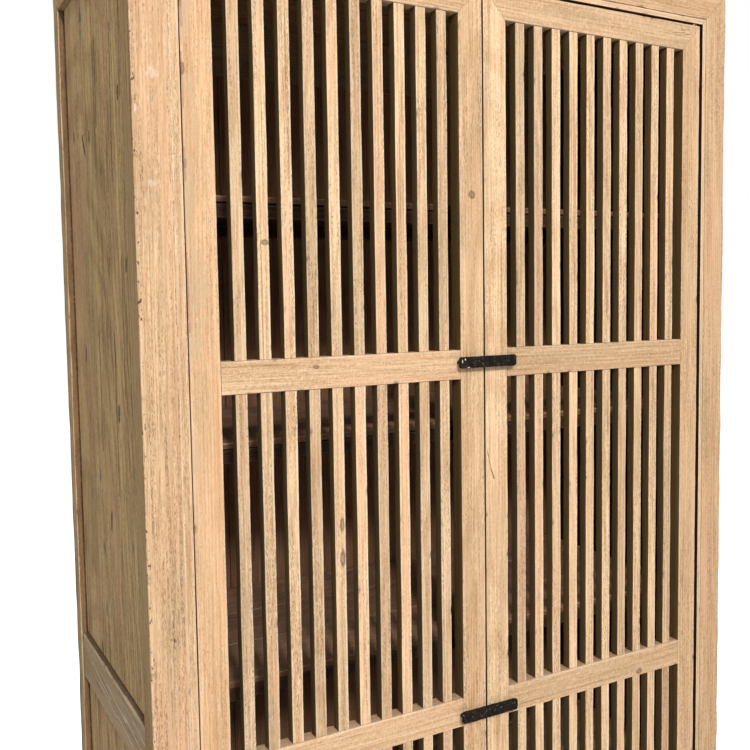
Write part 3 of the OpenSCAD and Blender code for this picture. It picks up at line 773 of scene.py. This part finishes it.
def make_side_frame(looks):
    for i, side in enumerate(OUTWARD):
        for k, (level, outer) in enumerate((("top", 1), ("bottom", 0))):
            node = f"side_{level}_rail_{side}"
            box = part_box(node)
            out_x = max(box[0].x, box[1].x, key=abs)
            turn = (Z, box[outer].z, 1)
            ends = (mitred(box, Y, (turn, (X, out_x, 1)))[0], mitred(box, Y, (turn,))[1])
            piece = case_piece(node, "side_wood", looks["side"], 51 + 4 * i + k)
            board(piece, *box, Y, edge=2, wobble=0.4, step=8, ends=ends, nicks=8)
            piece.make()
        node = "side_mid_rail_" + side
        low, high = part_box(node)
        low.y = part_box("front_post_" + side)[1].y
        high.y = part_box("back_post_" + side)[0].y
        piece = case_piece(node, "side_wood", looks["mid_rail_" + side], 61 + i)
        out = OUTWARD[side]
        board(piece, low, high, Y, edge=1.1, wobble=0.5, step=6, nicks=10, tone=0.6,
              soft=(((out, 0, 1), 3.6),), rubbed=(), pale=AXES[X] * out)
        piece.make()


def make_side_panels(looks):
    """Three planks with a shadow gap round them, over a thin tongue that fills the frame's groove and is
    coloured near black as painted shade, so that the gap reads dark.
    """
    gap, wide_gap, foot_gap, tongue_in = mm(0.8, 5, 4.3, 3.5)
    for i, side in enumerate(OUTWARD):
        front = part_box("front_post_" + side)[1].y
        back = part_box("back_post_" + side)[0].y
        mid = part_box("side_mid_rail_" + side)
        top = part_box("side_top_rail_" + side)[0].z
        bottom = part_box("side_bottom_rail_" + side)[1].z
        for k, (level, z0, z1) in enumerate((("upper", mid[1].z, top), ("lower", bottom, mid[0].z))):
            node = f"side_{level}_panel_{side}"
            low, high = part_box(node)
            piece = case_piece(node, "side_wood", looks["panel_" + side], 71 + 4 * i + k)
            tongue = [low.copy(), high.copy()]
            tongue[0 if side == "left" else 1].x += tongue_in if side == "left" else -tongue_in
            board(piece, *tongue, Z, edge=0.4, wobble=0, step=60, tone=0, pale=FRONT)
            xs = (low.x, high.x - tongue_in - 0.5 * MM)
            if side == "right":
                xs = (low.x + tongue_in + 0.5 * MM, high.x)
            cuts = [front + gap + (back - front - gap - wide_gap) * share for share in (0, 0.36, 0.71, 1)]
            for number, tone in enumerate((0.56, 0.44, 0.52)):
                box = span(xs, cuts[number:number + 2], (z0 + foot_gap, z1 - gap))
                board(piece, *box, Z, edge=0.3, joint=0.4, wobble=0.1, step=12, tone=tone)
            piece.make()


def plank_row(piece, low, high, along, across, cuts, **options):
    """Planks side by side across one axis, with their joints at the cuts."""
    stops = [low[across], *cuts, high[across]]
    for a, b in zip(stops, stops[1:]):
        p, q = low.copy(), high.copy()
        p[across], q[across] = a + 0.15 * MM, b - 0.15 * MM
        board(piece, p, q, along, **options)


def make_top_panel(looks):
    low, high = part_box("top_panel")
    front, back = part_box("front_post_left"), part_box("back_post_left")
    play = MM
    piece = case_piece("top_panel", "side_wood", looks["side"], 81)
    middle = (front[1].y + play, back[0].y - play)
    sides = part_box("side_top_rail_left")[1].x
    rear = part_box("hanging_rail_top")[0].y
    strips = ((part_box("front_top_rail")[1].y, middle[0], front[1].x + play, ()),
              (*middle, sides, [middle[0] + (middle[1] - middle[0]) * share for share in (0.34, 0.65)]),
              (middle[1], rear, back[1].x + play, ()))
    for y0, y1, x, cuts in strips:
        plank_row(piece, *span((x, -x), (y0, y1), (low.z, high.z)), X, Y, cuts,
                  edge=0.6, wobble=0.2, step=20)
    piece.make()


def make_shelf(node, looks, seed):
    """Rough boards with worn front edges, notched round the posts."""
    front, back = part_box("front_post_left"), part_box("back_post_left")
    play = MM
    piece = case_piece(node, "inner_wood", looks["inner"], seed)
    for low, high in solids(node):
        parts = [[low.y, high.y, low.x]]
        if low.y < front[1].y:
            parts = [[low.y, front[1].y + play, front[1].x + play], [front[1].y + play, high.y, low.x]]
        if high.y > back[0].y:
            parts[-1][1] = back[0].y - play
            parts.append([back[0].y - play, high.y, back[1].x + play])
        tone = piece.random.uniform(0.1, 1)
        for y0, y1, x in parts:
            # Tops, and half as much the fronts, are sanded pale; undersides and backs take the dark old
            # colours as painted shade under the shelves.
            board(piece, *span((x, -x), (y0 + 0.2 * MM, y1 - 0.2 * MM), (low.z, high.z)), X,
                  edge=1.6, wobble=1.1, step=9, nicks=10, nick_depth=2, tone=tone,
                  pale=(AXES[Z] + FRONT * 0.5).normalized(), rubbed=())
    piece.make()


def make_bearers_and_cleats(looks):
    front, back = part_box("front_post_left")[1].y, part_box("back_post_left")[0].y
    # The bearers and cleats take the near-black bearer look, painted shade under the shelves.
    bearers = case_piece("shelf_bearers", "inner_wood", looks["bearer"], 101)
    cleats = case_piece("shelf_cleats", "inner_wood", looks["bearer"], 102)
    cleat_boxes = solids("shelf_cleats")
    inner = min(abs(edge.x) for box in cleat_boxes for edge in box)
    for low, high in solids("shelf_bearers"):
        board(bearers, *span((-inner, inner), (low.y, high.y), (low.z, high.z)), X,
              edge=1.6, wobble=0.8, step=9, nicks=8)
    for low, high in cleat_boxes:
        board(cleats, *span((low.x, high.x), (front, back), (low.z, high.z)), Y,
              edge=1.4, wobble=0.6, step=10, nicks=6)
    bearers.make()
    cleats.make()


def make_back_boards(looks):
    piece = case_piece("back_boards", "inner_wood", looks["back"], 111)
    for low, high in solids("back_boards"):
        board(piece, low, high, Z, edge=0.9, wobble=0.4, step=16, pale=FRONT, rubbed=())
    piece.make()


# ---------- doors


def make_door(side, looks, seed):
    body = side + "_door"
    out = OUTWARD[side]
    shrunk = 1.5 * MM
    tones = {"hinge_stile": 0.6, "meeting_stile": 0.6 if side == "left" else 0.9}

    def door_piece(name, look, slot="front_wood", number=0):
        return Piece(f"{side}_{name}", body, slot, looks[look], seed + number)

    hinge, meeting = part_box(side + "_hinge_stile"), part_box(side + "_meeting_stile")
    top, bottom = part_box(side + "_top_rail"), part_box(side + "_bottom_rail")
    if side == "right":
        for box in (hinge, top, bottom):
            box[1].x -= shrunk
    rail_h, stile_w = top[1].z - top[0].z, hinge[1].x - hinge[0].x
    planed = dict(edge=1.5, wobble=0.35, step=6, nicks=7, nick_depth=1.2)
    left_in, right_in = sorted((hinge, meeting), key=lambda b: b[0].x)
    inside = (left_in[1].x, right_in[0].x)

    stiles = (("hinge_stile", hinge, out), ("meeting_stile", meeting, -out))
    for number, (name, box, facing) in enumerate(stiles):
        outer = max(box[0].x, box[1].x, key=lambda x: abs(x - sum(inside) / 2))
        piece = door_piece(name, side + "_" + name, number=number)
        board(piece, *box, Z, **planed, pale=FRONT, rubbed=((1, -1, 0),), tone=tones[name],
              soft=(((facing, -1, 0), 2 if name == "hinge_stile" else 0.7),),
              ends=mitred(box, Z, ((X, outer, rail_h / stile_w),)))
        piece.make()

    rails = (("top_rail", top, top[1].z), ("bottom_rail", bottom, bottom[0].z))
    for number, (name, box, outer) in enumerate(rails):
        piece = door_piece(name, side + "_top_rail" if name == "top_rail" else "rail", number=2 + number)
        board(piece, *box, X, **planed, rubbed=(), tone=0.4,
              ends=mitred(box, X, ((Z, outer, stile_w / rail_h),)))
        piece.make()

    levels = [bottom]
    for number, name in enumerate(("lower_rail", "upper_rail")):
        low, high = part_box(f"{side}_{name}")
        levels.append((low.copy(), high.copy()))
        piece = door_piece(name, side + "_" + name, number=4 + number)
        board(piece, *span(inside, (low.y, high.y), (low.z, high.z)), X,
              edge=1.3, wobble=0.35, step=6, nicks=9, nick_depth=1.2,
              rubbed=((0, -1, 1),), tone=0.55 if side == "left" else 0.3)
        piece.make()
    levels.append(top)

    for number, row in enumerate(("bottom", "middle", "top")):
        node = f"{side}_slats_{row}"
        piece = door_piece("slats_" + row, side + "_slats_" + row, "slat_wood", 6 + number)
        for index, (low, high) in enumerate(solids(node)):
            reach = (levels[number][1].z, levels[number + 1][0].z)
            # The slats' right front corners are rubbed pale: wear, and a painted highlight along each slat's
            # right edge.
            board(piece, *span((low.x, high.x), (low.y, high.y), reach), Z, edge=1.3, wobble=1, step=8,
                  pale=FRONT, nicks=5, nick_depth=1.3, rubbed=((1, -1, 0),),
                  heart=2 if (side, row, index) in CATHEDRAL else None)
        piece.make()


# ---------- iron, steel and brass


def cad_copy(node, body, material, bevel=0.3 * MM, along=Z):
    """The CAD node's own shape with its outer edges rounded, for small hardware and boards with holes."""
    bm = bmesh.new()
    bm.from_mesh(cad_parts[node].data)
    bmesh.ops.remove_doubles(bm, verts=bm.verts, dist=0.01 * MM)
    bmesh.ops.dissolve_limit(bm, angle_limit=0.01, verts=bm.verts, edges=bm.edges)
    sharp = [e for e in bm.edges if len(e.link_faces) == 2 and e.is_convex and e.calc_face_angle(0) > 0.6]
    bmesh.ops.bevel(bm, geom=sharp, offset=bevel, segments=2, profile=0.5, affect="EDGES",
                    clamp_overlap=True)
    mesh = bpy.data.meshes.new(node + "_worn")
    bm.to_mesh(mesh)
    bm.free()
    ua, va = (along + 1) % 3, (along + 2) % 3
    grain = mesh.attributes.new("grain", "FLOAT_VECTOR", "POINT")
    grain.data.foreach_set("vector", [v.co[a] + 0.05 for v in mesh.vertices for a in (ua, va, along)])
    tone = mesh.attributes.new("tone", "FLOAT", "POINT")
    tone.data.foreach_set("value", [0.5] * len(mesh.vertices))
    mesh.attributes.new("wear_and_light", "FLOAT_VECTOR", "POINT")
    finish_piece(node, mesh, material, body)


def lofted(rings, faces, verts):
    """Adds closed rings of points, joined in turn and capped at both ends."""
    skin(faces, len(verts), len(rings), len(rings[0]))
    for ring in rings:
        verts += ring


def pull_bar(low, high, seam_is_high, seed):
    """Rings of a hand-forged bar along X: square at the seam, rounded at its outer end, hammered all over."""
    end_r, edge, dent = 5 * MM, 2.4 * MM, 0.7 * MM
    length = high.x - low.x
    steps = [end_r * (1 - math.cos(math.radians(a))) for a in (0, 22, 45, 67, 90)]
    steps += [end_r + (length - end_r) * k / 24 for k in range(1, 24)] + [length - 0.4 * MM, length]
    rings = []
    for s in steps:
        inset = end_r * (1 - math.sqrt(max(0.0, 1 - (1 - min(s, end_r) / end_r) ** 2))) * 0.8
        if s == length:
            inset = 0.4 * MM
        x = low.x + s if seam_is_high else high.x - s
        radii = [edge * (0.9 + 0.5 * noise.noise((seed, 9 * i, x * 90))) for i in range(4)]
        radii = [max(0.6 * MM, min(r, 0.5 * (high.y - low.y) - inset - dent)) for r in radii]
        ring = []
        for y, z, ny, nz, _ in section(low.y + inset, high.y - inset, low.z + inset, high.z - inset, radii):
            hit = dent * (0.5 + 0.5 * noise.noise((x * 150 + seed, y * 150, z * 150)))
            ring.append(Vector((x, y - ny * hit, z - nz * hit)))
        rings.append(ring)
    return rings if seam_is_high else rings[::-1]


def peg(x, z, y0, y1, radius):
    """Rings of a short round post along Y that flares a little at both ends."""
    angles = [2 * math.pi * k / 24 for k in range(24)]
    rings = []
    for share, flare in ((0, 1.06), (0.15, 1.0), (0.3, 0.96), (0.7, 0.95), (0.9, 1.0), (1, 1.08)):
        y = y0 + (y1 - y0) * share
        r = radius * flare
        rings.append([Vector((x + r * math.sin(a), y, z + r * math.cos(a))) for a in angles])
    return rings


def make_pulls(side, looks):
    """Two forged half bars on each door, which meet at the seam, each on two short posts."""
    node = side + "_pulls"
    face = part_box(side + "_meeting_stile")[0].y
    screws = solids(side + "_pull_screws")
    verts, faces = [], []
    for number, (low, high) in enumerate(solids(node)):
        bar_back = low.y + 8 * MM
        bar_high = Vector((high.x, bar_back, high.z))
        lofted(pull_bar(low, bar_high, side == "left", 3.1 + 7 * number + len(side)), faces, verts)
        for screw_low, screw_high in screws:
            middle = (screw_low + screw_high) / 2
            if low.z < middle.z < high.z:
                lofted(peg(middle.x, middle.z, bar_back - MM, face, 2.6 * MM), faces, verts)
    mesh = bpy.data.meshes.new(node + "_forged")
    mesh.from_pydata(verts, [], faces)
    finish_piece(node, mesh, looks["iron"], side + "_door", even=False)


def make_hardware(looks):
    for node in ("hanging_rail_top", "hanging_rail_bottom"):
        cad_copy(node, "case", looks["hanging"], 0.8 * MM, X)
    cad_copy("pivot_pins", "case", looks["steel"])
    cad_copy("catch_screws", "case", looks["steel"])
    cad_copy("magnet_catches", "case", looks["catch"], 0.6 * MM)
    for side in OUTWARD:
        make_pulls(side, looks)
        cad_copy(side + "_pull_screws", side + "_door", looks["steel"])
        cad_copy(side + "_pivot_bushes", side + "_door", looks["brass"])
        cad_copy(side + "_strike_plate", side + "_door", looks["steel"])


# ---------- finishes


SANDED = dict(pale=(235, 199, 159), deep=(190, 148, 106), blush=(230, 180, 142), grey=(190, 163, 127),
              patchy=0.4)
PINK = dict(pale=(238, 197, 154), deep=(198, 152, 110), blush=(234, 178, 132), grey=(192, 164, 126),
            pores=0.45, patchy=0.4)
REDDISH_BACK = dict(old=(150, 102, 76), old_deep=(112, 74, 54))
# Dark olive for the doors' hidden faces: partly an old finish, partly painted shade on the sides of the slats
# and stiles.
DARK_BACK = dict(old=(122, 96, 56), old_deep=(88, 66, 38))
# OLIVE_BACK and OLIVE: the sides' own greener wood, made darker still as painted shade on the cabinet's
# sides.
OLIVE_BACK = dict(old=(172, 146, 102), old_deep=(132, 106, 68))
# Near black for the panels' tongues and the beads' side faces: painted shade seen only in the gaps.
GAP_SHADE = dict(old=(52, 38, 28), old_deep=(40, 28, 22))
OLIVE = dict(pale=(198, 168, 118), deep=(118, 90, 56), blush=(180, 140, 104), grey=(150, 131, 88),
             chalky=0.1, fine=0.45, patchy=0.7, **OLIVE_BACK)
BACK_POST = {**OLIVE, "old": (150, 116, 80), "old_deep": (112, 84, 56)}
PANEL = {**OLIVE, **GAP_SHADE, "pores": 0.7, "edge_pale": 0.05}
MID_RAIL = dict(pale=(172, 148, 116), deep=(126, 103, 74), blush=(168, 140, 106), grey=(150, 135, 106),
                old=(110, 90, 64), old_deep=(80, 62, 42), chalky=0.1)
# INNER: the shelves' tops take its pale colours and their undersides and backs its dark old ones, painted
# light on top and painted shade below.
INNER = dict(pale=(188, 147, 120), deep=(142, 107, 86), blush=(180, 134, 108), grey=(152, 128, 110),
             old=(92, 58, 42), old_deep=(64, 40, 28), chalky=0.0)
BACK = {**INNER, "pale": (172, 129, 98), "deep": (130, 94, 70), "blush": (166, 120, 90),
        "grey": (140, 114, 92)}
# Bearers and cleats under the shelves are coloured near black: painted shade for where they stand.
SHADED_BEARER = dict(pale=(64, 40, 26), deep=(42, 26, 16), blush=(68, 40, 26), grey=(48, 34, 24),
              old=(58, 38, 26), old_deep=(38, 24, 16), chalky=0.0)
POST = {**SANDED, **OLIVE_BACK, "pores": 0.6, "holes": 0.5, "edge_pale": 0.15}
ROUGH_POST = {**POST, "pores": 0.72, "holes": 0.9, "line_amount": 0.35}
DOOR = {**SANDED, **DARK_BACK}
# SLAT's high edge_pale paints the slats' right edges pale as wear and painted highlight, and its old_tint
# varies the painted shade on the slats' sides.
SLAT = {**DOOR, "patchy": 0.45, "pores": 0.65, "edge_pale": 0.85, "line_amount": 0.35,
        "old_tint": (100, 88, 62), "pale": (244, 211, 171)}
RAIL = {**SANDED, "old": SANDED["pale"], "old_deep": SANDED["deep"], "hatch": 0.4, "pores": 0.45}

# Slats sawn near the heart, so that their rings make tall arches: (side, row, number from the left).
CATHEDRAL = (("left", "middle", 3), ("right", "top", 6))

# The doors' pieces that have a look of their own: node, material, palette, knots and strokes for marks().
DOOR_MARKS = (
    ("left_slats_top", "left_top_slat_wood", SLAT, [(0.139, 0.320, 5, 3.4)], []),
    ("left_slats_middle", "left_middle_slat_wood", SLAT, [(0.455, 0.603, 3, 9), (0.456, 0.509, 4, 11)], []),
    ("right_slats_middle", "right_middle_slat_wood", SLAT, [(0.41, 0.640, 5, 3)],
     [(0.94, 0.775, 0.99, 0.752, 0.8, 0.5)]),
    ("left_meeting_stile", "left_meeting_wood", DOOR, [(0.531, 0.815, 5, 5.5)], []),
    ("right_meeting_stile", "right_meeting_wood", {**DOOR, "pale": (244, 212, 172)}, [],
     [(0.08, 0.580, 0.24, 0.563, 0.7, 0.8), (0.24, 0.563, 0.37, 0.554, 1.1, 0.8)]),
    ("right_hinge_stile", "right_hinge_wood", DOOR, [], []),
    ("right_lower_rail", "right_lower_rail_wood", RAIL, [(0.730, 0.171, 6, 4)], []),
    ("left_upper_rail", "left_upper_rail_wood", RAIL, [(0.372, 0.698, 4, 2.5)], []),
    ("right_top_rail", "right_top_rail_wood", RAIL, [],
     [(0.85, 0.56, 0.915, 0.66, 0.8, 0.45), (0.87, 0.50, 0.94, 0.62, 0.8, 0.45),
      (0.89, 0.72, 0.945, 0.80, 0.8, 0.45), (0.895, 0.90, 0.91, 0.70, 0.8, 0.45)]),
)


def case_looks():
    stain = (on_side("back_post_left", 1.0, 0.0), mm(14, 22, 1500), (96, 98, 80), 0.9)
    return {
        "post_left": wood("left_post_wood", **ROUGH_POST, **post_marks()),
        "post_right": wood("right_post_wood", **POST),
        "case_rail": wood("case_rail_wood", **{**POST, "deep": (190, 150, 104)}),
        "bead_left": wood("left_bead_wood", **DOOR, pores=0.5),
        # The beads' faces turned away from the front are painted shade for the door gap.
        "bead": wood("bead_wood", **{**DOOR, **GAP_SHADE}, pores=0.5),
        "side": wood("side_wood", **OLIVE, edge_pale=0.1),
        "back_post": wood("back_post_wood", **BACK_POST, patches=[stain], strokes=corner_shadow_line()),
        "panel_left": wood("left_panel_wood", **PANEL, **panel_marks()),
        "panel_right": wood("right_panel_wood", **PANEL),
        "mid_rail_left": wood("left_mid_rail_wood", **MID_RAIL, edge_pale=0.6, hatch=0.15,
                              **mid_rail_marks()),
        "mid_rail_right": wood("right_mid_rail_wood", **MID_RAIL, edge_pale=0.6, hatch=0.15),
        "inner": wood("inner_wood", **INNER, edge_pale=0.1),
        "hanging": wood("hanging_rail_wood", **MID_RAIL),
        "back": wood("back_wood", **BACK, edge_pale=0.05),
        "bearer": wood("shaded_bearer_wood", **SHADED_BEARER, edge_pale=0.05),
    }


def metal_looks():
    return {
        "iron": metal("black_iron", (20, 15, 11), (36, 29, 23), 0.6, 0.0, 4 * MM, 1.0, 0.8, 0.15,
                      iron_glints()),
        "steel": metal("plain_steel", (96, 92, 86), (62, 56, 50), 0.42, 0.8, 2 * MM, 0.2, 0.3),
        "brass": metal("bush_brass", (178, 146, 84), (140, 110, 62), 0.36, 0.9, 2 * MM, 0.2, 0.2),
        "catch": metal("catch_body", (96, 78, 62), (80, 64, 52), 0.55, 0.0, 3 * MM, 0.3, 0.1),
    }


def door_looks():
    rail, slat = wood("door_rail_wood", **RAIL), wood("slat_wood", **SLAT)
    looks = {"rail": rail}
    for side in OUTWARD:
        for name in ("top_rail", "lower_rail", "upper_rail"):
            looks[f"{side}_{name}"] = rail
        for row in ("top", "middle", "bottom"):
            looks[f"{side}_slats_{row}"] = slat
    looks["left_hinge_stile"] = wood("left_hinge_wood", **PINK, **REDDISH_BACK, **hinge_marks())
    for node, name, palette, knots, scratches in DOOR_MARKS:
        looks[node] = wood(name, **palette, **marks(on_front, node, knots, scratches))
    return looks


def build():
    looks = {**case_looks(), **metal_looks(), **door_looks()}
    make_front_posts(looks)
    make_back_posts(looks)
    make_front_rails(looks)
    make_beads(looks)
    make_side_frame(looks)
    make_side_panels(looks)
    make_top_panel(looks)
    for number, node in enumerate(("floor_boards", "shelf_1", "shelf_2", "shelf_3", "shelf_4")):
        make_shelf(node, looks, 91 + number)
    make_bearers_and_cleats(looks)
    make_back_boards(looks)
    for number, side in enumerate(OUTWARD):
        make_door(side, looks, 200 + 50 * number)
    make_hardware(looks)


make_studio()
build()
bpy.context.view_layer.update()
